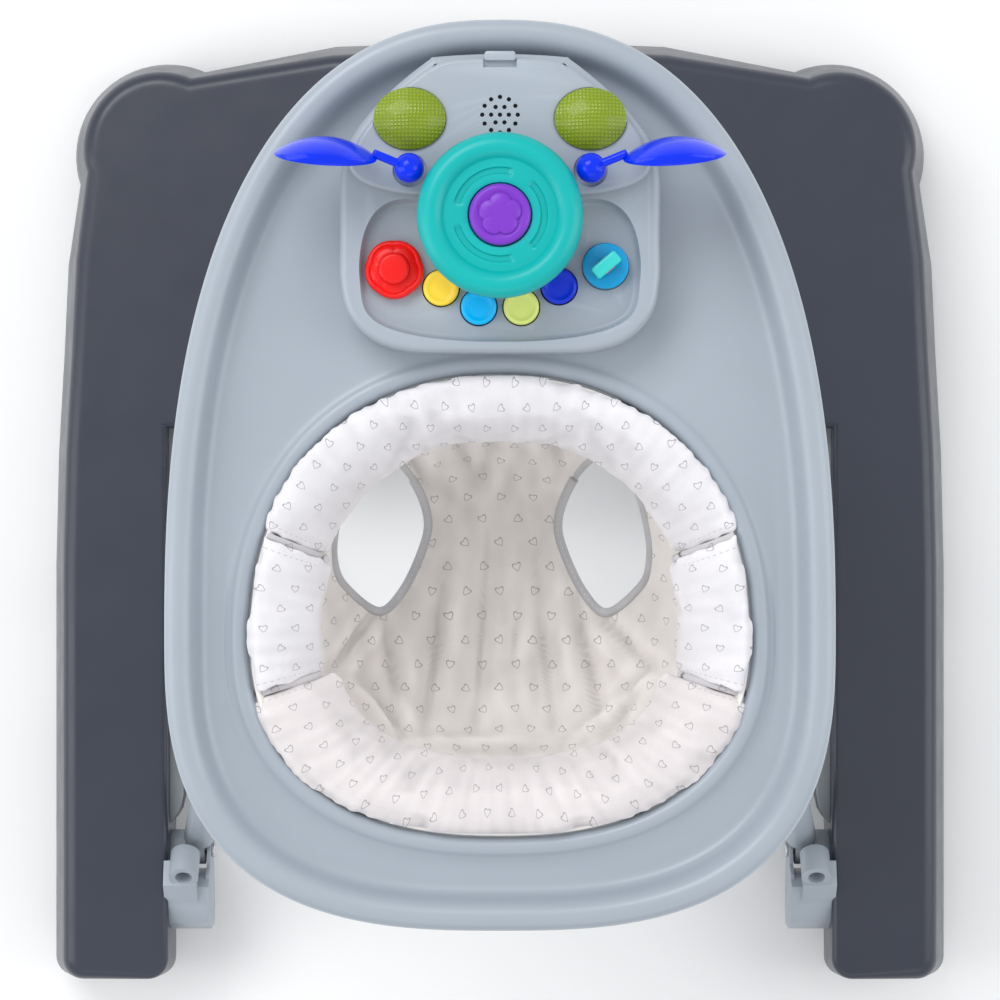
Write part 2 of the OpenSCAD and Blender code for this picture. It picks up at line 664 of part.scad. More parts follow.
module mirror_glass_right() color([0.85, 0.9, 0.95])
    at_mirror() slab(egg(mirror_r - 3.3, 0, 17.7, -17.7, 2, 2, 48), 0, 1.4);

// ---- one line per node ----

base_shell();
base_skirt();
mirror([1, 0, 0]) rail_right();  // rail_left
rail_right();
mirror([1, 0, 0]) rear_bracket_right();  // rear_bracket_left
rear_bracket_right();
rear_pivot_pins();
caster_sockets();
grip_pads();
bracket_screws();
fork(front_left);  // fork_front_left
fork(front_caster);  // fork_front_right
fork(rear_left);  // fork_rear_left
fork(rear_caster);  // fork_rear_right
spindle(front_left);  // spindle_front_left
spindle(front_caster);  // spindle_front_right
spindle(rear_left);  // spindle_rear_left
spindle(rear_caster);  // spindle_rear_right
wheel_pair(front_left);  // wheel_front_left
wheel_pair(front_caster);  // wheel_front_right
wheel_pair(rear_left);  // wheel_rear_left
wheel_pair(rear_caster);  // wheel_rear_right
mirror([1, 0, 0]) leg_tube_right();  // leg_tube_left
leg_tube_right();
mirror([1, 0, 0]) knuckle_right();  // knuckle_left
knuckle_right();
leg_glides();
mirror([1, 0, 0]) strut_tube_right();  // strut_tube_left
strut_tube_right();
strut_crossbar();
strut_ends();
strut_glides();
centre_pins();
tray_shell();
mirror([1, 0, 0]) tray_channel_right();  // tray_channel_left
tray_channel_right();
tray_pivot_blocks();
tray_pivot_pins();
seat();
seat_clips();
panel_shell();
panel_latch();
light_lenses();
speaker();
circuit_board();
battery_box();
steering_wheel();
steering_column();
horn_button();
flower_knob();
ignition_dial();
ignition_key();
note_button(0, "gold");  // note_button_yellow
note_button(1, "deepskyblue");  // note_button_cyan
note_button(2, "greenyellow");  // note_button_lime
note_button(3, "blue");  // note_button_blue
mirror([1, 0, 0]) mirror_right();  // mirror_left
mirror_right();
mirror([1, 0, 0]) mirror_glass_right();  // mirror_glass_left
mirror_glass_right();
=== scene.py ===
"""Baby walker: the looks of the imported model, in metres, in the frame of the CAD."""
import json
import math

import bmesh
import bpy
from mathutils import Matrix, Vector, noise
from mathutils.bvhtree import BVHTree


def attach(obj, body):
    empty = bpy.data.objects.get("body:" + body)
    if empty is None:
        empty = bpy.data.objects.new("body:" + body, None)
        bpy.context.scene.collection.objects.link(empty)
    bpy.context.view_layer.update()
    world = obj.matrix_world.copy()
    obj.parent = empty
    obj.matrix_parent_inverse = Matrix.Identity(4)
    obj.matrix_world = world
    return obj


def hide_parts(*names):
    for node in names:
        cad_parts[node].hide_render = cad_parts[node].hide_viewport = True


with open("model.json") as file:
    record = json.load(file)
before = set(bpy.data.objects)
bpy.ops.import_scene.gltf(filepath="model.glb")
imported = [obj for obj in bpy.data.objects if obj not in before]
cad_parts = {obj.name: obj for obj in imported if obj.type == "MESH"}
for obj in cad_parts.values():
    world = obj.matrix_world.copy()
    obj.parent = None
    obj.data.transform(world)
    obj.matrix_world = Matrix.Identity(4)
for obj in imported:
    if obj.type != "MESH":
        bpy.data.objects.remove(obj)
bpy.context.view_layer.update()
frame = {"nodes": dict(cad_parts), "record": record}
MM = 0.001


# ---------------------------------------------------------------- nodes and materials

def put(t, socket, value):
    if isinstance(value, bpy.types.NodeSocket):
        t.links.new(value, socket)
    else:
        socket.default_value = value


def node(t, kind, inputs=None, **props):
    n = t.nodes.new("ShaderNode" + kind)
    for k, v in props.items():
        setattr(n, k, v)
    for k, v in (inputs or {}).items():
        put(t, n.inputs[k], v)
    return n


def calc(t, op, *values):
    n = node(t, "Math", operation=op)
    for s, v in zip(n.inputs, values):
        put(t, s, v)
    return n.outputs[0]


def spread(t, value, lo, hi, to_lo, to_hi):
    return node(t, "MapRange", {"Value": value, "From Min": lo, "From Max": hi, "To Min": to_lo,
                                "To Max": to_hi}).outputs[0]


def cloud(t, where, size, detail=3.0):
    """Noise whose blotches are about size metres wide."""
    return node(t, "TexNoise", {"Vector": where, "Scale": 1.0 / size, "Detail": detail}).outputs["Fac"]


def blend_colour(t, share, a, b):
    n = node(t, "Mix", data_type="RGBA")
    for s, v in ((n.inputs["Factor"], share), (n.inputs[6], a), (n.inputs[7], b)):
        put(t, s, v)
    return n.outputs[2]


def fresh(name):
    m = bpy.data.materials.new(name)
    m.use_nodes = True
    m.node_tree.nodes.clear()
    return m, m.node_tree


def finish_material(t, **sockets):
    shader = node(t, "BsdfPrincipled", {k.replace("_", " "): v for k, v in sockets.items()})
    out = node(t, "OutputMaterial")
    t.links.new(shader.outputs[0], out.inputs["Surface"])


def bump(t, height, strength, distance, normal=None):
    inputs = {"Height": height, "Strength": strength, "Distance": distance}
    if normal is not None:
        inputs["Normal"] = normal
    return node(t, "Bump", inputs).outputs[0]


def plastic(name, colour, rough=0.34, grain=0.25, grain_size=0.0009, mottle=0.05, edge_lightening=0.25, **extra):
    """Moulded plastic: faint tone clouds, fine texture, uneven gloss, paler convex edges."""
    m, t = fresh(name)
    here = node(t, "TexCoord").outputs["Object"]
    tone = spread(t, cloud(t, here, 0.09), 0.3, 0.7, 1 - mottle, 1 + mottle)
    c = node(t, "HueSaturation", {"Color": (*colour, 1), "Value": tone}).outputs[0]
    # Convex edges, found by the mesh's pointiness, are blended towards a paler tone
    edge = spread(t, node(t, "NewGeometry").outputs["Pointiness"], 0.515, 0.6, 0.0, edge_lightening)
    pale = tuple(min(1.0, x * 1.35 + 0.03) for x in colour) + (1,)
    c = blend_colour(t, edge, c, pale)
    gloss = spread(t, cloud(t, here, 0.025, 5.0), 0.25, 0.75, rough * 0.86, min(1.0, rough * 1.16))
    n = bump(t, cloud(t, here, grain_size, 2.0), grain, 0.00012)
    n = bump(t, cloud(t, here, 0.05, 1.0), 0.12, 0.0012, n)
    finish_material(t, Base_Color=c, Roughness=gloss, Normal=n, **extra)
    return m


def metal(name, colour, rough=0.3, brushed=0.35, metallic=1.0):
    m, t = fresh(name)
    here = node(t, "TexCoord").outputs["Object"]
    long = node(t, "Mapping", {"Vector": here, "Scale": (60.0, 900.0, 900.0)}).outputs[0]
    lines = node(t, "TexNoise", {"Vector": long, "Scale": 1.0, "Detail": 2.0}).outputs["Fac"]
    tone = spread(t, cloud(t, here, 0.04), 0.3, 0.7, 0.92, 1.06)
    c = node(t, "HueSaturation", {"Color": (*colour, 1), "Value": tone}).outputs[0]
    gloss = spread(t, lines, 0.3, 0.7, rough * 0.8, rough * 1.25)
    finish_material(t, Base_Color=c, Roughness=gloss, Metallic=metallic,
                    Normal=bump(t, lines, brushed, 0.00006))
    return m


def see_through(name, colour, share, rough, grid=0.0, pitch=0.0013, gloss_level=0.5):
    """Tinted clear plastic, with a moulded grid on the inside where one is asked for."""
    m, t = fresh(name)
    here = node(t, "TexCoord").outputs["Object"]
    tone = spread(t, cloud(t, here, 0.02), 0.3, 0.7, 0.93, 1.07)
    c = node(t, "HueSaturation", {"Color": (*colour, 1), "Value": tone}).outputs[0]
    n = bump(t, cloud(t, here, 0.002, 2.0), 0.1, 0.0001)
    if grid:
        xyz = node(t, "SeparateXYZ", {"Vector": here}).outputs
        waves = [calc(t, "SINE", calc(t, "MULTIPLY", xyz[i], 2 * math.pi / pitch)) for i in (0, 1)]
        weave = calc(t, "MAXIMUM", waves[0], waves[1])
        n = bump(t, weave, grid, 0.0003, n)
        dark = tuple(x * 0.5 for x in colour) + (1,)
        c = blend_colour(t, spread(t, weave, 0.2, 1.0, 0.0, 0.6), c, dark)
    gloss = spread(t, cloud(t, here, 0.01), 0.3, 0.7, rough * 0.8, rough * 1.3)
    finish_material(t, Base_Color=c, Roughness=gloss, Normal=n, Transmission_Weight=share, IOR=1.45,
                    Specular_IOR_Level=gloss_level, Coat_Weight=0.4 * gloss_level, Coat_Roughness=0.05)
    return m


def fabric(name, colour, hearts=0.0, rough=0.85, thread=0.0007):
    """Woven cloth. Its threads and its printed hearts follow the cloth's own flat co-ordinates."""
    m, t = fresh(name)
    flat = node(t, "Attribute", attribute_name="cloth").outputs["Vector"]
    here = node(t, "TexCoord").outputs["Object"]
    xyz = node(t, "SeparateXYZ", {"Vector": flat}).outputs
    waves = [calc(t, "SINE", calc(t, "MULTIPLY", xyz[i], 2 * math.pi / thread)) for i in (0, 1)]
    weave = calc(t, "MULTIPLY", waves[0], waves[1])
    fuzz = cloud(t, here, 0.0015, 4.0)
    tone = spread(t, cloud(t, here, 0.035), 0.3, 0.7, 0.965, 1.03)
    # Painted shade: the cloth is darkened in its creases and lightened on its ridges, by the mesh's pointiness
    painted_crease_shade = spread(t, node(t, "NewGeometry").outputs["Pointiness"], 0.455, 0.535, 0.70, 1.10)
    c = node(t, "HueSaturation", {"Color": (*colour, 1), "Value": calc(t, "MULTIPLY", tone, painted_crease_shade)}).outputs[0]
    c = blend_colour(t, spread(t, fuzz, 0.35, 0.7, 0.0, 0.10), c, tuple(x * 0.8 for x in colour) + (1,))
    if hearts:
        c = blend_colour(t, calc(t, "MULTIPLY", heart_print(t, xyz), hearts), c, (0.30, 0.28, 0.30, 1))
    n = bump(t, weave, 0.35, 0.00018)
    n = bump(t, fuzz, 0.3, 0.0003, n)
    n = bump(t, cloud(t, here, 0.012, 3.0), 0.35, 0.0016, n)
    finish_material(t, Base_Color=c, Roughness=spread(t, fuzz, 0.3, 0.7, rough - 0.06, rough + 0.08), Normal=n,
                    Sheen_Weight=0.25, Sheen_Roughness=0.5, Subsurface_Weight=0.06,
                    Subsurface_Radius=(0.004, 0.003, 0.0025), Subsurface_Scale=1.0)
    return m


def heart_print(t, xyz, pitch=0.0225, size=0.0026):
    """Share of ink: small heart outlines, staggered row by row, each turned its own way."""
    row = calc(t, "FLOOR", calc(t, "DIVIDE", xyz[1], pitch * 0.72))
    odd = calc(t, "MULTIPLY", calc(t, "PINGPONG", row, 1.0), 0.5)
    across = calc(t, "ADD", calc(t, "DIVIDE", xyz[0], pitch), odd)
    column = calc(t, "FLOOR", across)
    cell = node(t, "CombineXYZ", {"X": column, "Y": row}).outputs[0]
    chance = node(t, "TexWhiteNoise", {"Vector": cell}, noise_dimensions="3D").outputs["Value"]
    turn = calc(t, "MULTIPLY_ADD", chance, 2.2, -1.1)
    px = calc(t, "MULTIPLY", calc(t, "SUBTRACT", calc(t, "FRACT", across), 0.5), pitch / size)
    py = calc(t, "SUBTRACT", calc(t, "FRACT", calc(t, "DIVIDE", xyz[1], pitch * 0.72)), 0.5)
    py = calc(t, "MULTIPLY", py, pitch * 0.72 / size)
    co, si = calc(t, "COSINE", turn), calc(t, "SINE", turn)
    qx = calc(t, "SUBTRACT", calc(t, "MULTIPLY", px, co), calc(t, "MULTIPLY", py, si))
    qy = calc(t, "ADD", calc(t, "MULTIPLY", px, si), calc(t, "MULTIPLY", py, co))

    # A heart is a disc whose height is sheared up by the distance from its middle line
    shear = calc(t, "MULTIPLY", calc(t, "ABSOLUTE", qx), 0.85)
    lifted = calc(t, "SUBTRACT", calc(t, "MULTIPLY", qy, 1.15), shear)
    size_here = calc(t, "SQRT", calc(t, "ADD", calc(t, "MULTIPLY", qx, qx), calc(t, "MULTIPLY", lifted, lifted)))
    return calc(t, "SUBTRACT", calc(t, "LESS_THAN", size_here, 1.12), calc(t, "LESS_THAN", size_here, 0.84))


M = {
    "base_plastic": plastic("glossy_dark_grey", (0.033, 0.038, 0.056), 0.32, 0.05, 0.004, mottle=0.03, edge_lightening=0.3),
    "rail_plastic": plastic("warm_grey", (0.27, 0.29, 0.31), 0.45, 0.35),
    "bracket_plastic": plastic("light_grey", (0.33, 0.37, 0.415), 0.42, 0.35),
    "black_plastic": plastic("black_moulding", (0.022, 0.022, 0.026), 0.5, 0.5),
    "pad_rubber": plastic("pad_rubber", (0.018, 0.018, 0.018), 0.85, 0.8, 0.0014, edge_lightening=0.1),
    "steel": metal("steel", (0.60, 0.61, 0.63)),
    "tube_paint": plastic("tube_coat", (0.62, 0.64, 0.66), 0.3, 0.5, 0.0007, Coat_Weight=0.2),
    "tyre_plastic": plastic("wheel_plastic", (0.045, 0.045, 0.055), 0.55, 0.5),
    "tray_plastic": plastic("tray_grey", (0.345, 0.39, 0.44), 0.32, 0.05, 0.004, mottle=0.02, edge_lightening=0.2),
    "fabric_white": fabric("heart_cloth", (0.80, 0.78, 0.80), 0.75),
    "lens_green": see_through("green_lens", (0.27, 0.38, 0.006), 0.12, 0.12, 0.5, 0.0022),
    "board_green": plastic("board_green", (0.02, 0.12, 0.05), 0.5),
    "turquoise": plastic("turquoise", (0.0, 0.40, 0.385), 0.32, 0.12, Specular_IOR_Level=0.3),
    "horn_purple": plastic("horn_purple", (0.185, 0.034, 0.49), 0.32, 0.12, Specular_IOR_Level=0.3),
    "red": plastic("red", (0.80, 0.008, 0.006), 0.3, 0.12, Specular_IOR_Level=0.3),
    "yellow": plastic("yellow", (1.0, 0.68, 0.055), 0.32, 0.12, Specular_IOR_Level=0.3),
    "cyan": plastic("cyan", (0.0, 0.47, 0.95), 0.3, 0.12, Specular_IOR_Level=0.3),
    "lime": plastic("lime", (0.70, 0.79, 0.21), 0.32, 0.12, Specular_IOR_Level=0.3),
    "blue": plastic("blue", (0.002, 0.030, 0.64), 0.3, 0.12, Specular_IOR_Level=0.3),
    "dial_blue": plastic("dial_blue", (0.002, 0.31, 0.62), 0.3, 0.12, Specular_IOR_Level=0.3),
    "key_aqua": plastic("key_aqua", (0.03, 0.60, 0.56), 0.3, 0.12),
    "mirror_blue": see_through("mirror_blue", (0.0, 0.03, 0.86), 0.12, 0.1, gloss_level=0.22),
    "mirror_face": metal("mirror_film", (0.85, 0.88, 0.92), 0.04, 0.02),
}
cloth_inner = fabric("heart_cloth_inner", (0.84, 0.80, 0.765), 0.75)
cloth_rear = fabric("heart_cloth_rear", (0.765, 0.715, 0.71), 0.75)
binding_cloth = fabric("binding_cloth", (0.62, 0.62, 0.64), 0.0, thread=0.0011)
thread_white = fabric("sewing_thread", (0.85, 0.84, 0.84), 0.0)


# ---------------------------------------------------------------- mesh helpers (millimetres in, metres out)

def piece(name, verts, faces, material, body, slot, stands_for=(), sharp=35.0):
    me = bpy.data.meshes.new(name)
    me.from_pydata([tuple(c * MM for c in v) for v in verts], [], faces)
    me.validate()
    me.materials.append(material)
    o = bpy.data.objects.new(name, me)
    bpy.context.scene.collection.objects.link(o)
    smooth(o)
    if sharp:
        me.set_sharp_from_angle(angle=math.radians(sharp))
    dress(o, body, stands_for)
    return o


def dress(o, body, stands_for=()):
    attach(o, body)
    if stands_for:
        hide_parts(*stands_for)


def loft(rings, caps=(True, True), open_spans=()):
    """Vertices and faces through rings of points. Spans named in open_spans are left out below the top."""
    n = len(rings[0])
    verts = [p for r in rings for p in r]
    faces = [(k * n + i, k * n + (i + 1) % n, (k + 1) * n + (i + 1) % n, (k + 1) * n + i)
             for k in range(len(rings) - 1) for i in range(n) if not (i in open_spans and k < open_spans[i])]
    if caps[0]:
        faces.append(tuple(range(n - 1, -1, -1)))
    if caps[1]:
        faces.append(tuple(range(len(verts) - n, len(verts))))
    return verts, faces


def arc(cx, cy, r, a0, a1, n):
    return [(cx + r * math.cos(math.radians(a0 + (a1 - a0) * i / n)),
             cy + r * math.sin(math.radians(a0 + (a1 - a0) * i / n))) for i in range(n + 1)]


def mirrored(p):
    return p + [(-x, y) for x, y in reversed(p) if x > 0.01]


def normals(p):
    """Mitred inward directions of a clockwise outline, and how far each must go per millimetre of inset."""
    out = []
    for i in range(len(p)):
        u = (Vector(p[i]) - Vector(p[i - 1])).normalized()
        v = (Vector(p[(i + 1) % len(p)]) - Vector(p[i])).normalized()
        m = Vector((u.y + v.y, -u.x - v.x)).normalized()
        out.append(m / max(0.5, m.dot(Vector((u.y, -u.x)))))
    return out


def inset(p, d):
    return [(x + m.x * d, y + m.y * d) for (x, y), m in zip(p, normals(p))]


def egg(half_w, mid, front, rear, n_front=2.4, n_rear=2.8, count=160):
    points = []
    for i in range(count):
        a = 2 * math.pi * i / count
        s, c = math.sin(a), math.cos(a)
        n, reach = (n_front, front - mid) if c > 0 else (n_rear, mid - rear)
        points.append((half_w * math.copysign(abs(s) ** (2 / n), s),
                       mid + reach * math.copysign(abs(c) ** (2 / n), c)))
    return points


def at(p, z):
    return [(x, y, z) for x, y in p]


def modify(o, kind, **props):
    mod = o.modifiers.new(kind.lower(), kind)
    for k, v in props.items():
        setattr(mod, k, v)
    return mod


def apply_all(o):
    dg = bpy.context.evaluated_depsgraph_get()
    me = bpy.data.meshes.new_from_object(o.evaluated_get(dg))
    o.modifiers.clear()
    o.data = me


def smooth(o):
    o.data.polygons.foreach_set("use_smooth", [True] * len(o.data.polygons))


def outward(o):
    """Turns every face of a closed piece to look outwards."""
    bm = bmesh.new()
    bm.from_mesh(o.data)
    bmesh.ops.remove_doubles(bm, verts=bm.verts, dist=0.000005)
    bmesh.ops.recalc_face_normals(bm, faces=bm.faces)
    if bm.calc_volume(signed=True) < 0:
        bmesh.ops.reverse_faces(bm, faces=bm.faces)
    bm.to_mesh(o.data)
    bm.free()
    return o


def tube(name, path, r, material, body, slot, closed=False, sides=10, flat=1.0, up=None):
    """Round or flattened bar along a path of points in millimetres."""
    pts = [Vector(p) for p in path]
    n, rings = len(pts), []
    side = None
    for i, p in enumerate(pts):
        ahead = pts[(i + 1) % n] if closed or i < n - 1 else p
        back = pts[i - 1] if closed or i else p
        d = (ahead - back).normalized()
        ref = up[i] if up else (Vector((0, 0, 1)) if abs(d.z) < 0.9 else Vector((1, 0, 0)))
        side = d.cross(ref).normalized()
        rise = side.cross(d).normalized()
        rings.append([tuple(p + side * r * math.cos(2 * math.pi * k / sides)
                            + rise * r * flat * math.sin(2 * math.pi * k / sides)) for k in range(sides)])
    if closed:
        rings.append(rings[0])
    verts, faces = loft(rings, (not closed, not closed))
    return piece(name, verts, faces, material, body, slot)


# ---------------------------------------------------------------- base

def base_half(k):
    f = 14 * (1 - k)
    return ([(0, 339.5 - 13.5 * k), (60, 338.6 - 13.5 * k), (120, 336.5 - 15 * k)]
            + arc(243, 258, 51.5 + f, 114, -18, 26)
            + [(300 + f, 178), (303 + f, 113), (307 + f, 42), (309 + f, -40), (309 + f, -180)]
            + arc(297 + f, -327.5 + 6 * k, 12, 0, -90, 8) + arc(252, -327.5 + 6 * k, 12, 270, 180, 8)
            + [(240, -200), (240, 60), (198, 60), (198, 135), (150, 135), (150, 60), (0, 60)])


def base_cover():
    count = len(mirrored(base_half(0)))
    half = len(base_half(0))
    inner = 8                                  # outline points from the arm's inner wall to the middle
    r = [6.5 if i < half - inner - 8 else 2.0 for i in range(half)]
    r = r + [r[i] for i in range(half - 2, 0, -1)]
    assert len(r) == count
    rings = []
    for z in (30, 31.5, 45, 60, 72):
        k = (z - 30) / 60
        grow = 0.0 if z > 31 else 0.6
        rings.append([(x, y, z) for x, y in inset(mirrored(base_half(k)), grow)])
    for step in range(8):
        a = math.radians(90 * step / 7)
        ring = []
        for i, (rad, m0) in enumerate(zip(r, normals(mirrored(base_half(1))))):
            z = 90 - rad + rad * math.sin(a)
            x, y = mirrored(base_half((z - 30) / 60))[i]
            d = rad * (1 - math.cos(a))
            ring.append((x + m0.x * d, y + m0.y * d, z))
        rings.append(ring)
    m0 = normals(mirrored(base_half(1)))
    rings.append([(x + m.x * 2, y + m.y * 2, 90) for (x, y, z), m in zip(rings[-1], m0)])
    skip = {i: 4 for i in range(half - 7, half + 5)}                # the inner walls stop short of the floor
    skip.update({i: 5 for i in (half - 5, half - 4, half - 3, half, half + 1, half + 2)})    # strut slots
    verts, faces = loft(rings, (False, True), skip)
    o = piece("base_cover", verts, faces, M["base_plastic"], "base", "base_plastic",
              ("base_shell", "base_skirt"), 50)
    modify(o, "SOLIDIFY", thickness=0.0026, offset=-1.0)
    apply_all(o)
    smooth(o)
    o.data.set_sharp_from_angle(angle=math.radians(50))
    return o


base_cover()

# Ribs that carry the rails under the front plate
for side in (-1, 1):
    rib = [(side * x, y) for x, y in ((240.2, 64), (242.8, 64), (242.8, 223), (240.2, 223))]
    if side < 0:
        rib.reverse()
    verts, faces = loft([at(rib, 44), at(rib, 86.5)])
    piece("rail_rib_" + ("left" if side < 0 else "right"), verts, faces, M["base_plastic"], "base",
          "base_plastic")


# ---------------------------------------------------------------- tray

def tray_ring(d, n=160):
    return egg(203 - d, -75, 297 - d, -254 + d, 2.42, 2.8, n)


def opening_ring(d, n=160):
    return egg(155 - d, -78, 85 - d, -201 + d, 2.2, 2.35, n)


def tray():
    rim = [(2.2, 412), (2.2, 415), (0.3, 415.3), (0, 416.5), (0.3, 417.7), (2.0, 418.2), (2.3, 421), (1.9, 440),
           (2.1, 445), (3.2, 448), (5.2, 449.6), (8, 450), (11, 449.5), (13.4, 447.8), (15.0, 445), (16.2, 441),
           (17.6, 436), (19.8, 432.2), (23.5, 429.8), (30, 428.6)]
    rings = [at(tray_ring(d), z) for d, z in rim]
    a, b = tray_ring(30), opening_ring(-11)
    for share, z in ((0.2, 428.1), (0.45, 427.7), (0.7, 427.9), (0.9, 428.4), (1.0, 429.0)):
        rings.append([(p[0] + (q[0] - p[0]) * share, p[1] + (q[1] - p[1]) * share, z) for p, q in zip(a, b)])
    lip = [(-8.0, 430.2), (-6.4, 431.8), (-4.4, 432.3), (-2.2, 431.8), (-0.6, 430.2), (0.0, 427.5), (0.1, 414)]
    rings += [at(opening_ring(d), z) for d, z in lip]
    verts, faces = loft(rings, (False, False))
    o = piece("tray_top", verts, faces, M["tray_plastic"], "tray", "tray_plastic", ("tray_shell",), None)
    modify(o, "SOLIDIFY", thickness=0.0024, offset=-1.0)
    modify(o, "SUBSURF", levels=1, render_levels=1)
    apply_all(o)
    smooth(o)
    return o


tray()


# ---------------------------------------------------------------- rounded copies of CAD nodes

def rounded(cad, width, material=None, angle=32, segments=2, name=None):
    """A copy of a CAD node whose sharp edges are rounded, which stands for the node."""
    source = frame["nodes"][cad]
    me = bpy.data.meshes.new((name or cad) + "_rounded")
    bm = bmesh.new()
    bm.from_mesh(source.data)
    bm.transform(source.matrix_world)
    bmesh.ops.remove_doubles(bm, verts=bm.verts, dist=0.00002)
    bmesh.ops.dissolve_limit(bm, angle_limit=math.radians(1.0), verts=bm.verts, edges=bm.edges)
    bm.to_mesh(me)
    bm.free()
    o = bpy.data.objects.new((name or cad) + "_rounded", me)
    bpy.context.scene.collection.objects.link(o)
    me.materials.clear()
    row = next(s for s in frame["record"]["subparts"] if s["node"] == cad)
    me.materials.append(material or M[row["material_slot"]])
    if width:
        modify(o, "BEVEL", width=width * MM, segments=segments, limit_method="ANGLE",
               angle_limit=math.radians(angle), use_clamp_overlap=True, harden_normals=False)
        apply_all(o)
    smooth(o)
    o.data.set_sharp_from_angle(angle=math.radians(40))
    body = next(b for b, nodes in frame["record"]["behaviour"]["bodies"].items() if cad in nodes)
    dress(o, body, (cad,))
    return o


SOFT_EDGES = {"rear_bracket_left": 1.0, "rear_bracket_right": 1.0, "knuckle_left": 1.4, "knuckle_right": 1.4,
              "ignition_dial": 0.9, "mirror_left": 0.5, "mirror_right": 0.5}
OWN_MESH = ["seat", "tray_shell", "base_shell", "base_skirt", "panel_shell", "panel_latch", "light_lenses",
            "steering_wheel", "horn_button", "flower_knob", "note_button_yellow", "note_button_cyan",
            "note_button_lime", "note_button_blue", "ignition_key", "rail_left", "rail_right"]
for cad in frame["nodes"]:
    if cad not in OWN_MESH:
        rounded(cad, SOFT_EDGES.get(cad, 0.4))


# ---------------------------------------------------------------- fabric seat

# Rows of the sling, top to bottom: height, half width, front y, rear y
SLING = [(434, 150.5, 80.5, -196.5), (418, 139, 71, -186), (400, 124, 58, -172), (375, 115, 50, -164),
         (350, 108, 43, -158), (325, 98, 34, -150), (305, 85, 23, -138), (290, 68, 8, -122), (283, 50, -10, -108),
         (281.5, 30, -34, -94), (281, 12, -62, -84), (281, 2, -76, -79)]

# Soft creases seen in the cloth: from (x, y), to (x, y), half width, height
CREASES = [((-80, -66), (-106, -100), 4, 4.6), ((-74, -70), (-68, -128), 5, 4.2), ((-60, -148), (-88, -106), 4, 4.0),
           ((-46, 12), (-70, 56), 5, 4.4), ((-36, 60), (-16, 20), 6, 3.8), ((-62, 36), (-34, 66), 4, 3.2),
           ((-14, 18), (4, 66), 5, 3.4), ((40, 26), (24, 64), 5, 4.2), ((60, 42), (92, 56), 5, 4.0),
           ((-8, -14), (-16, -140), 9, 4.4), ((22, -30), (34, -142), 7, 3.8), ((-36, -40), (-48, -140), 6, 3.8),
           ((66, -70), (96, -104), 5, 4.4), ((50, -60), (62, -132), 5, 4.0), ((66, -144), (96, -98), 4, 4.2),
           ((-92, 18), (-122, 38), 5, 3.6), ((88, 26), (122, 30), 5, 3.6), ((-26, -152), (44, -150), 3, 3.6),
           ((-84, 30), (-100, 58), 4, 3.2), ((12, -60), (8, -100), 5, 2.6), ((-60, -148), (44, -150), 2.4, -2.6),
           ((-60, -148), (-98, -110), 2.4, -2.6), ((44, -150), (98, -106), 2.4, -2.6)]


def crease_height(x, y):
    h = 0.0
    for (ax, ay), (bx, by), w, top in CREASES:
        dx, dy = bx - ax, by - ay
        s = ((x - ax) * dx + (y - ay) * dy) / (dx * dx + dy * dy)
        s_in = min(1.0, max(0.0, s))
        off = math.hypot(x - ax - dx * s_in, y - ay - dy * s_in)
        taper = 0.35 + 0.65 * math.sin(math.pi * min(1, max(0, s_in)))
        h += top * taper * (math.exp(-off / (0.8 * w)) - 0.4 * math.exp(-((off - 2.1 * w) / w) ** 2))
    return h


def along(rows, s):
    """Smooth value between rows, for s from 0 to the last row's number."""
    i = min(len(rows) - 2, int(s))
    f = s - i
    p = [rows[min(len(rows) - 1, max(0, i + k))] for k in (-1, 0, 1, 2)]
    return [0.5 * (2 * b + (c - a) * f + (2 * a - 5 * b + 4 * c - d) * f * f + (3 * b - a - 3 * c + d) * f ** 3)
            for a, b, c, d in zip(*p)]


def flat_cloth(o):
    """Flat co-ordinates of the cloth, for its weave and print."""
    data = o.data.attributes.new("cloth", "FLOAT_VECTOR", "POINT")
    values = []
    for v in o.data.vertices:
        x, y, z = v.co
        r = math.hypot(x, y + 0.078) + 1e-6
        k = 1 + 0.30 * max(0.0, z - 0.281) / r
        values += [x * k, (y + 0.078) * k, 0.0]
    data.data.foreach_set("vector", values)


def push(o, amount):
    """Moves each vertex along its normal by amount(x, y, z) millimetres."""
    o.data.update()
    moves = [v.normal * amount(*(c / MM for c in v.co)) * MM for v in o.data.vertices]
    for v, m in zip(o.data.vertices, moves):
        v.co += m
    o.data.update()


def hole_outline(cx, cy, flip):
    """Leaf-shaped leg hole with a point at its rear end."""
    knots = [(0, 50), (14, 36), (24, 10), (28, -16), (23, -36), (2, -54), (-14, -40), (-27, -12), (-30, 6),
             (-24, 26), (-13, 43)]
    out = []
    for i in range(len(knots)):
        for k in range(8):
            p = [knots[(i + j) % len(knots)] for j in (-1, 0, 1, 2)]
            f = k / 8
            x, y = (0.5 * (2 * b + (c - a) * f + (2 * a - 5 * b + 4 * c - d) * f * f
                           + (3 * b - a - 3 * c + d) * f ** 3) for a, b, c, d in zip(*p))
            out.append((cx + flip * x, cy + y))
    return out


def surface(o):
    return BVHTree.FromPolygons([v.co for v in o.data.vertices], [tuple(p.vertices) for p in o.data.polygons])


def drop(tree, x, y, default=0.281):
    """Height of a surface under a point, in millimetres."""
    hit = tree.ray_cast(Vector((x * MM, y * MM, 1.0)), Vector((0, 0, -1)))[0]
    return (hit.z if hit else default) / MM


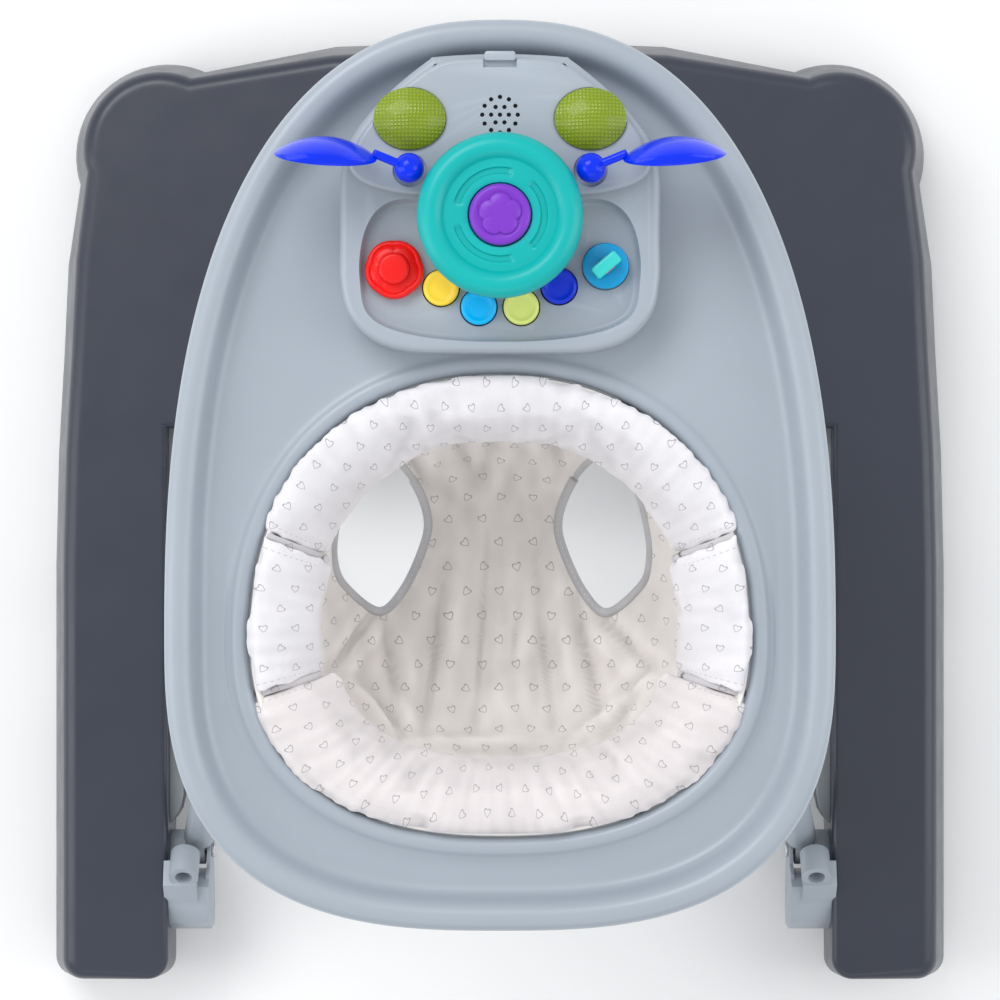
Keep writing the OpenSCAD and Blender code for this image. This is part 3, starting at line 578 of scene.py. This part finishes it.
def sling():
    rings = []
    for k in range(57):
        z, w, f, r = along(SLING, k * (len(SLING) - 1) / 56)
        rings.append(at(egg(w, -78, f, r, 2.2, 2.35, 200), z))
    verts, faces = loft(rings, (False, True))
    o = piece("seat_sling", verts, faces, cloth_inner, "tray", "fabric_white", ("seat",), None)

    def folds(x, y, z):
        low = min(1.0, max(0.0, (432 - z) / 30))
        broad = noise.noise(Vector((x / 38, y / 38, z / 55)))
        fine = noise.noise(Vector((x / 11, y / 17, z / 30 + 7)))
        return low * (crease_height(x, y) + 3.2 * broad + 1.3 * fine)

    push(o, folds)
    tree = surface(o)
    holes = [hole_outline(-77, -12, -1), hole_outline(68, -13, 1)]
    modify(o, "SOLIDIFY", thickness=0.0016, offset=1.0)
    apply_all(o)
    outward(o)
    for i, outline in enumerate(holes):
        area = sum(p[0] * q[1] - q[0] * p[1] for p, q in zip(outline, outline[1:] + outline[:1]))
        ordered = outline if area > 0 else outline[::-1]
        cutter_verts, cutter_faces = loft([at(ordered, 240), at(ordered, 380)])
        cutter = outward(piece("cutter_%d" % i, cutter_verts, cutter_faces, cloth_inner, "tray",
                               "fabric_white"))
        modify(o, "BOOLEAN", operation="DIFFERENCE", solver="MANIFOLD", object=cutter)
        apply_all(o)
        bpy.data.objects.remove(cutter)
    smooth(o)
    flat_cloth(o)
    for side, outline in zip(("left", "right"), holes):
        path = [(x, y, drop(tree, x, y) + 0.2) for x, y in outline]
        b = tube("leg_hole_binding_" + side, path, 2.9, binding_cloth, "tray", "fabric_white", True, 12, 0.62)
        flat_cloth(b)
        stitches("leg_hole_stitch_" + side, [(x, y, z + 1.75) for x, y, z in path], True, 4.2)


def stitches(name, path, closed, step, length=2.6, r=0.28):
    """A row of short thread stitches along a path of points in millimetres."""
    pts = [Vector(p) for p in path] + ([Vector(path[0])] if closed else [])
    verts, faces, marks = [], [], []
    walked = goal = 0.0
    for a, b in zip(pts, pts[1:]):
        span = (b - a).length
        while walked + span >= goal and span > 0:
            marks.append((a + (b - a) * ((goal - walked) / span), (b - a).normalized()))
            goal += step
        walked += span
    for p, d in marks:
        side = d.cross(Vector((0, 0, 1))).normalized()
        rise = side.cross(d).normalized()
        base = len(verts)
        for s, k in ((-0.5, 0.3), (-0.25, 1.0), (0.25, 1.0), (0.5, 0.3)):
            c = p + d * length * s - rise * (1 - k) * r * 1.6
            verts += [tuple(c + side * r * k * math.cos(q) + rise * r * k * math.sin(q))
                      for q in (2 * math.pi * j / 6 for j in range(6))]
        faces += [(row + j, row + (j + 1) % 6, row + 6 + (j + 1) % 6, row + 6 + j)
                  for row in (base, base + 6, base + 12) for j in range(6)]
    return piece(name, verts, faces, thread_white, "tray", "fabric_white", (), None)


# Padded collar: cross-section as (inset from the opening, height), top side then underside
COLLAR = [(0.8, 436), (2.5, 440.5), (7, 443), (14, 441.5), (22, 436), (30, 426.5), (37, 415), (43, 403),
          (46.5, 393), (45, 389), (38.5, 391), (32, 398), (25, 408), (18, 419.5), (10, 430), (3, 434)]


def collar_point(a, d):
    s, c = math.sin(math.radians(a)), math.cos(math.radians(a))
    n, reach = (2.2, 163 - d) if c > 0 else (2.35, 123 - d)
    return ((155 - d) * math.copysign(abs(s) ** (2 / n), s), -78 + reach * math.copysign(abs(c) ** (2 / n), c))


def collar_pad(name, a0, a1, width, material, cap):
    """One padded section of the collar, from angle a0 to a1, swollen by a cloth run."""
    steps = max(10, int((a1 - a0) / 2.5))
    rings = []
    for i in range(steps + 1):
        a = a0 + (a1 - a0) * i / steps
        edge = min(i, steps - i) * (a1 - a0) / steps
        k = 0.66 + 0.29 * min(1.0, edge / 5.0) ** 0.5
        ring = []
        for d, z in COLLAR:
            line_z = 440 - d * 1.02 if d > 2 else 438
            dd = 2 + (d - 2) * width / 46
            x, y = collar_point(a, dd)
            ring.append((x, y, line_z + (z - line_z) * k - (0 if k > 0.9 else 1.2)))
        rings.append(ring)
    verts, faces = loft(rings)
    o = piece(name, verts, [tuple(reversed(f)) for f in faces], material, "tray", "fabric_white", (), None)
    modify(o, "REMESH", mode="VOXEL", voxel_size=0.0048)
    apply_all(o)
    start = [v.co.copy() for v in o.data.vertices]
    inflate(o)
    for v, s in zip(o.data.vertices, start):
        move = v.co - s
        if move.length > cap * MM:
            v.co = s + move.normalized() * cap * MM
    modify(o, "SMOOTH", factor=0.5, iterations=2)
    modify(o, "SUBSURF", levels=1, render_levels=1)
    apply_all(o)

    def wrinkle(x, y, z):
        a = math.degrees(math.atan2(x, y + 78))
        r = math.hypot(x, y + 78)
        near_edge = math.exp(-((z - 436) / 7) ** 2)
        ripple = noise.noise(Vector((a / 3.1, r / 40, 3.0)))
        return (0.5 + 0.4 * near_edge) * ripple + 0.9 * noise.noise(Vector((x / 21, y / 21, z / 21)))

    push(o, wrinkle)
    smooth(o)
    flat_cloth(o)
    return o


def inflate(o):
    scene = bpy.context.scene
    cloth = modify(o, "CLOTH")
    cloth.settings.quality = 6
    cloth.settings.mass = 0.2
    cloth.settings.tension_stiffness = 18
    cloth.settings.compression_stiffness = 18
    cloth.settings.bending_stiffness = 0.6
    cloth.settings.use_pressure = True
    cloth.settings.uniform_pressure_force = 4
    cloth.settings.effector_weights.gravity = 0
    cloth.point_cache.frame_start, cloth.point_cache.frame_end = 1, 20
    for f in range(1, 21):
        scene.frame_set(f)
        bpy.context.view_layer.update()
    apply_all(o)
    scene.frame_set(1)


sling()
pads = [collar_pad("collar_front", -68.9, 68.9, 42, M["fabric_white"], 5),
        collar_pad("collar_right", 68.9, 103.1, 47, M["fabric_white"], 6),
        collar_pad("collar_rear", 103.1, 256.9, 51, cloth_rear, 8),
        collar_pad("collar_left", 256.9, 291.1, 47, M["fabric_white"], 6)]
for i, (a, p, q) in enumerate(((68.9, 0, 1), (103.1, 1, 2), (256.9, 2, 3), (291.1, 3, 0))):
    trees = (surface(pads[p]), surface(pads[q]))
    line = []
    for k in range(24):
        d = 4 + 37 * k / 23
        x, y = collar_point(a, d)
        near = [drop(t, *collar_point(a + off, d), 0.41) for t, off in ((trees[0], -2), (trees[1], 2))]
        line.append((x, y, min(near) - 2.2))
    seam = tube("collar_seam_%d" % i, line, 2.2, M["fabric_white"], "tray", "fabric_white", False, 10)
    flat_cloth(seam)
    for off, tree in ((-2.6, trees[0]), (2.6, trees[1])):
        row = [(*collar_point(a + off, d), drop(tree, *collar_point(a + off, d), 0.41) + 0.15)
               for d in (6 + 32 * k / 20 for k in range(21))]
        stitches("seam_stitch_%d_%s" % (i, "a" if off < 0 else "b"), row, False, 4.4)


# ---------------------------------------------------------------- toy panel

def curve_through(knots, per=8):
    """Closed smooth outline through the knots of its right half, mirrored to the left."""
    knots = mirrored(knots)
    out = []
    for i in range(len(knots)):
        for k in range(per):
            f = k / per
            p = [knots[(i + j) % len(knots)] for j in (-1, 0, 1, 2)]
            out.append(tuple(0.5 * (2 * b + (c - a) * f + (2 * a - 5 * b + 4 * c - d) * f * f
                                    + (3 * b - a - 3 * c + d) * f ** 3) for a, b, c, d in zip(*p)))
    return out


def solid(name, rings, material=None):
    verts, faces = loft(rings)
    return outward(piece(name, verts, faces, material or M["tray_plastic"], "tray", "tray_plastic", (), None))


def round_top(outline, low, top, r, foot=0.0):
    """Rings of a block whose top edge is rounded by r and whose foot may spread."""
    rings = [at(inset(outline, -foot), low), at(inset(outline, -foot * 0.4), low + 2), at(outline, low + 5)]
    for i in range(7):
        a = math.radians(90 * i / 6)
        rings.append(at(inset(outline, r * (1 - math.cos(a))), top - r + r * math.sin(a)))
    rings.append(at(inset(outline, r + 0.7), top))
    return rings


def drill(x, y, r, low, top, count=40):
    ring = [(x + r * math.cos(2 * math.pi * i / count), y + r * math.sin(2 * math.pi * i / count))
            for i in range(count)]
    return [at(ring, low), at(ring, top)]


def cut(o, name, rings, operation="DIFFERENCE"):
    tool = solid(name, rings)
    modify(o, "BOOLEAN", operation=operation, solver="MANIFOLD", object=tool)
    apply_all(o)
    bpy.data.objects.remove(tool)


PANEL = [(0, 274.6), (36, 273), (44, 270), (66, 252), (84, 232), (92, 218), (96, 200), (96, 168), (96, 139),
         (91, 118), (77, 103), (56, 96), (28, 95), (0, 95)]
PLATEAU = [(0, 270.5), (20, 270.2), (32, 268.8), (42, 264.6), (52, 257.5), (63, 248), (80, 229),
           (88, 214), (90, 205), (83, 197), (68, 191.5),
           (46, 188.5), (0, 188)]
RECESS = [(0, 181), (34, 184), (58, 186.5), (72, 181), (80, 169), (83.5, 153), (83.5, 138), (80.5, 121),
          (70, 111.5), (50, 105.5), (24, 102.5), (0, 102)]
NOTES = {"yellow": (-35.5, 134), "cyan": (-12.8, 122.5), "lime": (12.8, 122.5), "blue": (35.5, 135)}

panel = solid("panel_body", round_top(curve_through(PANEL), 426.2, 462, 5.0, 0.8))
cut(panel, "plateau", round_top(curve_through(PLATEAU), 456, 470, 2.8, 1.2), "UNION")
recess = curve_through(RECESS)
cut(panel, "recess", [at(inset(recess, 3.6), 454), at(inset(recess, 2.4), 454.3), at(inset(recess, 1.0), 455.4),
                      at(inset(recess, 0.4), 457.2), at(recess, 459), at(inset(recess, -0.8), 463),
                      at(inset(recess, -1.2), 480)])
for i, (x, y) in enumerate(NOTES.values()):
    cut(panel, "note_well_%d" % i, drill(x, y, 11.5, 433, 470))
cut(panel, "dial_well", drill(63.5, 147, 14.4, 452, 470))
cut(panel, "column_well", drill(0, 175, 17, 453, 490))
LENS_X, LENS_Y, BALL_Y = 54, 234, 203.5
for s in (-1, 1):
    seat_ring = [(s * LENS_X + x, LENS_Y + y) for x, y in egg(22.1, 0, 19.1, -19.1, 2, 2, 64)]
    cut(panel, "lens_seat_%d" % s, [at(seat_ring, 469.2), at(seat_ring, 480)])
    cut(panel, "ball_socket_%d" % s, drill(s * LENS_X, BALL_Y, 10.2, 467, 480))
grille = [(0, 0)] + [(5.3 * row * math.cos(math.radians(60 * i / row)),
                      5.3 * row * math.sin(math.radians(60 * i / row))) for row in (1, 2) for i in range(6 * row)]
for i, (x, y) in enumerate(grille):
    cut(panel, "speaker_hole_%d" % i, drill(x, 236.5 + y, 1.35, 464, 480, 14))
slot_ring = [(-10, 264.9), (10, 264.9), (10, 280), (-10, 280)]
cut(panel, "latch_slot", [at(slot_ring, 467.2), at(slot_ring, 480)])
bm = bmesh.new()
bm.from_mesh(panel.data)
bmesh.ops.remove_doubles(bm, verts=bm.verts, dist=0.00003)
bmesh.ops.dissolve_degenerate(bm, edges=bm.edges, dist=0.00003)
bmesh.ops.dissolve_limit(bm, angle_limit=math.radians(0.6), verts=bm.verts, edges=bm.edges)
bm.to_mesh(panel.data)
bm.free()
modify(panel, "BEVEL", width=0.0005, segments=2, limit_method="ANGLE", angle_limit=math.radians(50),
       use_clamp_overlap=True)
apply_all(panel)
smooth(panel)
panel.data.set_sharp_from_angle(angle=math.radians(38))
modify(panel, "WEIGHTED_NORMAL", keep_sharp=True, weight=60)
apply_all(panel)
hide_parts("panel_shell")

tab = [(x, 268.8 + y) for x, y in ((-9.2, 0.8), (-8.4, 0), (8.4, 0), (9.2, 0.8), (9.2, 4.6), (8.2, 5.7), (-8.2, 5.7),
                                   (-9.2, 4.6))]
outward(piece("latch_tab", *loft([at(tab, 467.6), at(tab, 470.2), at(inset(tab[::-1], 0.3)[::-1], 470.8),
                                          at(inset(tab[::-1], 0.9)[::-1], 471)]),
                      M["tray_plastic"], "latch", "tray_plastic", ("panel_latch",), 40))

lens_verts, lens_faces = [], []
for s in (-1, 1):
    rings = []
    for f in (1.0, 1.0, 0.985, 0.95, 0.88, 0.76, 0.6, 0.42, 0.24, 0.1, 0.02):
        z = 470.0 if not rings else 443 + math.sqrt(36 ** 2 - (21.5 * f) ** 2)
        rings.append(at([(s * LENS_X + x * f, LENS_Y + y * f) for x, y in egg(21.5, 0, 18.5, -18.5, 2, 2, 72)], z))
    v, fc = loft(rings)
    lens_faces += [tuple(i + len(lens_verts) for i in face) for face in fc]
    lens_verts += v
outward(piece("green_lenses", lens_verts, lens_faces, M["lens_green"], "tray", "lens_green", ("light_lenses",), 50))


# ---------------------------------------------------------------- slide rails

def rail(side):
    """C-shaped slide rail on the arm's inner wall, with a tapered rear end."""
    name = "left" if side < 0 else "right"
    rings = []
    for y, w in ((-226, 3.2), (-223, 6.0), (-217, 9.6), (-206, 12), (-100, 12), (0, 12), (120, 12), (223.9, 12)):
        inner, back = 240 - w, 240 - min(2.5, w * 0.6)
        section = [(240, 45.5), (240, 74.5), (inner + 0.6, 74.5), (inner, 73.9), (inner, 72.2), (back, 72.0),
                   (back, 48.0), (inner, 47.8), (inner, 46.1), (inner + 0.6, 45.5)]
        rings.append([(side * x, y, z) for x, z in section])
    verts, faces = loft(rings)
    o = piece("slide_rail_" + name, verts, faces, M["rail_plastic"], "base", "rail_plastic", ("rail_" + name,), 30)
    return outward(o)


rail(-1)
rail(1)


# ---------------------------------------------------------------- toys: the detail the CAD leaves out

WHEEL = (0, 175, 485.5)


def wheel():
    """Toy steering wheel turned from one profile, with three grooves in its face."""
    x0, y0, z0 = WHEEL
    low = z0 - 7
    profile = [(8, low), (30, low), (35, low + 1), (39, low + 1.5), (44, low + 1.2), (47.5, low + 4.5),
               (49.3, low + 9), (48.6, low + 12.5), (46.4, low + 15.6), (43, low + 17.4),
               (39.5, low + 17.6), (36.5, low + 16.3), (34.4, low + 14.2), (33.4, low + 13.0),
               (32.4, low + 12.9), (30, low + 13.1), (28.4, low + 13.1), (27.8, low + 12.1),
               (24.6, low + 12.1), (24.0, low + 13.1), (21, low + 13.3), (19.3, low + 12.9),
               (18.8, low + 12.0), (18.6, low + 7.4), (8, low + 7.4)]
    count = 144
    rings = []
    for r, z in profile:
        ring = []
        for i in range(count):
            a = 2 * math.pi * i / count
            zz = z
            if 24 < r < 28.2 and z < low + 12.5:
                turn = (math.degrees(a) - 30) % 120
                share = min(1.0, max(0.0, min(turn - 14, 106 - turn) / 2.0))
                zz = low + 13.1 - 1.5 * share
            ring.append((x0 + r * math.sin(a), y0 + r * math.cos(a), zz))
        rings.append(ring)
    rings.append(rings[0])
    verts, faces = loft(rings, (False, False))
    return outward(piece("toy_wheel", verts, faces, M["turquoise"], "steering", "turquoise",
                         ("steering_wheel",), 40))


def flower(name, cx, cy, layers, lobes, material, body, slot, stands_for=(), turn=0.0, sharp=50):
    """Turned button with a lobed outline: layers are (radius, lobe depth, height)."""
    rings = []
    for r, depth, z in layers:
        ring = []
        for a in (2 * math.pi * i / 160 for i in range(160)):
            reach = r + depth * (2 * abs(math.cos(lobes * (a - turn) / 2)) ** 0.7 - 1)
            ring.append((cx + reach * math.sin(a), cy + reach * math.cos(a), z))
        rings.append(ring)
    verts, faces = loft(rings)
    return outward(piece(name, verts, faces, material, body, slot, stands_for, sharp))


wheel()
h = 489.0        # foot of the horn cap
flower("horn_cap", 0, 175, [(17.2, 0, h), (18.0, 0, h + 1), (18.2, 0, h + 4), (17.6, 0, h + 5.2),
                            (16.2, 0, h + 5.9),
                            (14.6, 0, h + 6.1), (13.4, 0.1, h + 5.6), (12.0, 1.1, h + 5.5), (11.6, 1.2, h + 6.6),
                            (10.6, 1.2, h + 7.3), (6, 0.7, h + 7.8), (0.4, 0, h + 7.9)],
       5, M["horn_purple"], "horn", "horn_purple", ("horn_button",))
k = 454.5        # foot of the knob
flower("petal_knob", -63.5, 145, [(9, 0, k - 14), (9, 0, k - 0.1), (17.0, 0.3, k), (17.5, 0.35, k + 1.2),
                                  (17.5, 0.35, k + 4.6), (17.0, 0.4, k + 6.2), (15.9, 0.5, k + 7.1),
                                  (14.8, 0.6, k + 7.1), (14.0, 0.8, k + 6.4), (13.0, 0.9, k + 7.2),
                                  (11.6, 0.7, k + 8.0),
                                  (9.9, 0.1, k + 8.3), (9.4, 0, k + 9.4), (9.2, 0, k + 12), (8.5, 0, k + 13.2),
                                  (7.2, 0, k + 13.5), (0.4, 0, k + 13.5)],
       5, M["red"], "knob", "red", ("flower_knob",), math.radians(36))

b = 454.0        # rest height of the note caps
for name, (x, y) in NOTES.items():
    flower("note_cap_" + name, x, y, [(4, 0, b - 13), (4, 0, b - 5), (10.7, 0, b - 5), (10.7, 0, b + 3.4),
                                      (10.2, 0, b + 4.4), (9.2, 0, b + 4.9), (8.4, 0, b + 4.95), (7.9, 0, b + 4.5),
                                      (5, 0, b + 4.4), (0.4, 0, b + 4.4)],
           1, M[name], "note_" + name, name, ("note_button_" + name,))


# Ignition key: a rounded bar with a red mark on its side
turn = math.radians(40)
KEY_X, KEY_Y = 63.5, 147


def key_block(name, u0, u1, w, z0, z1, r, material):
    """Bar turned to the key's angle: u runs along it and w is half its width."""
    corners = ((u1 - r, w - r, 0), (u0 + r, w - r, 90), (u0 + r, -w + r, 180), (u1 - r, -w + r, 270))
    ring = [p for cu, cv, a0 in corners for p in arc(cu, cv, r, a0, a0 + 90, 6)]
    rings = []
    for grow, z in ((0.5, z0), (0, z0 + 0.6), (0, z1 - 1.4), (0.35, z1 - 0.5), (1.0, z1 - 0.1), (1.8, z1)):
        shrunk = [(u - math.copysign(grow, u), v - math.copysign(grow, v)) for u, v in ring]
        rings.append([(KEY_X + u * math.cos(turn) - v * math.sin(turn),
                       KEY_Y + u * math.sin(turn) + v * math.cos(turn), z) for u, v in shrunk])
    return outward(piece(name, *loft(rings), material, "key", "key_aqua", (), 40))


bar = key_block("key_bar", -9, 9, 4.0, 461.4, 472.2, 1.6, M["key_aqua"])
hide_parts("ignition_key")
key_block("key_mark", -4, 4, 4.25, 463.5, 467.5, 1.0, M["red"])


# ---------------------------------------------------------------- floor, light, camera

FLOOR = 3000                               # half the floor's side
floor_verts = [(-FLOOR, -FLOOR, 0), (FLOOR, -FLOOR, 0), (FLOOR, FLOOR, 0), (-FLOOR, FLOOR, 0)]
m_floor, t = fresh("floor_paint")
where = node(t, "TexCoord").outputs["Object"]
finish_material(t, Base_Color=blend_colour(t, spread(t, cloud(t, where, 0.4), 0.3, 0.7, 0.0, 1.0),
                                           (0.90, 0.90, 0.90, 1), (0.93, 0.93, 0.93, 1)),
                Roughness=0.8, Normal=bump(t, cloud(t, where, 0.002), 0.05, 0.0002))
me = bpy.data.meshes.new("floor")
me.from_pydata([tuple(c * MM for c in v) for v in floor_verts], [], [(0, 1, 2, 3)])
me.materials.append(m_floor)
floor = bpy.data.objects.new("floor", me)
bpy.context.scene.collection.objects.link(floor)

world = bpy.data.worlds.new("studio")
world.use_nodes = True
bpy.context.scene.world = world
world.node_tree.nodes["Background"].inputs["Color"].default_value = (0.95, 0.97, 1.0, 1)
world.node_tree.nodes["Background"].inputs["Strength"].default_value = 0.75


def lamp(name, place, aim, size, power, colour=(1, 1, 1)):
    data = bpy.data.lights.new(name, "AREA")
    data.shape, data.size, data.size_y = "RECTANGLE", size[0], size[1]
    data.energy, data.color = power, colour
    o = bpy.data.objects.new(name, data)
    bpy.context.scene.collection.objects.link(o)
    o.location = place
    o.rotation_euler = (Vector(aim) - Vector(place)).to_track_quat("-Z", "Y").to_euler()
    return o


lamp("key_softbox", (-0.9, 1.5, 2.3), (0, 0, 0.2), (1.6, 1.2), 29)
lamp("fill_left", (-2.0, -0.3, 1.5), (0, 0, 0.2), (1.2, 2.2), 16)
lamp("fill_right", (2.0, 0.0, 1.5), (0, 0, 0.2), (1.2, 2.2), 16)
lamp("rear_softbox", (0.2, -1.9, 1.8), (0, 0, 0.2), (2.0, 0.8), 4)

camera = bpy.data.objects.new("camera", bpy.data.cameras.new("camera"))
bpy.context.scene.collection.objects.link(camera)
camera.location = (0, 0.0065, 2.39)
camera.rotation_euler = (0, 0, 0)
camera.data.lens = 115.8
camera.data.sensor_width = 36
camera.data.clip_start, camera.data.clip_end = 0.05, 50
bpy.context.scene.camera = camera
bpy.context.scene.view_settings.view_transform = "Standard"
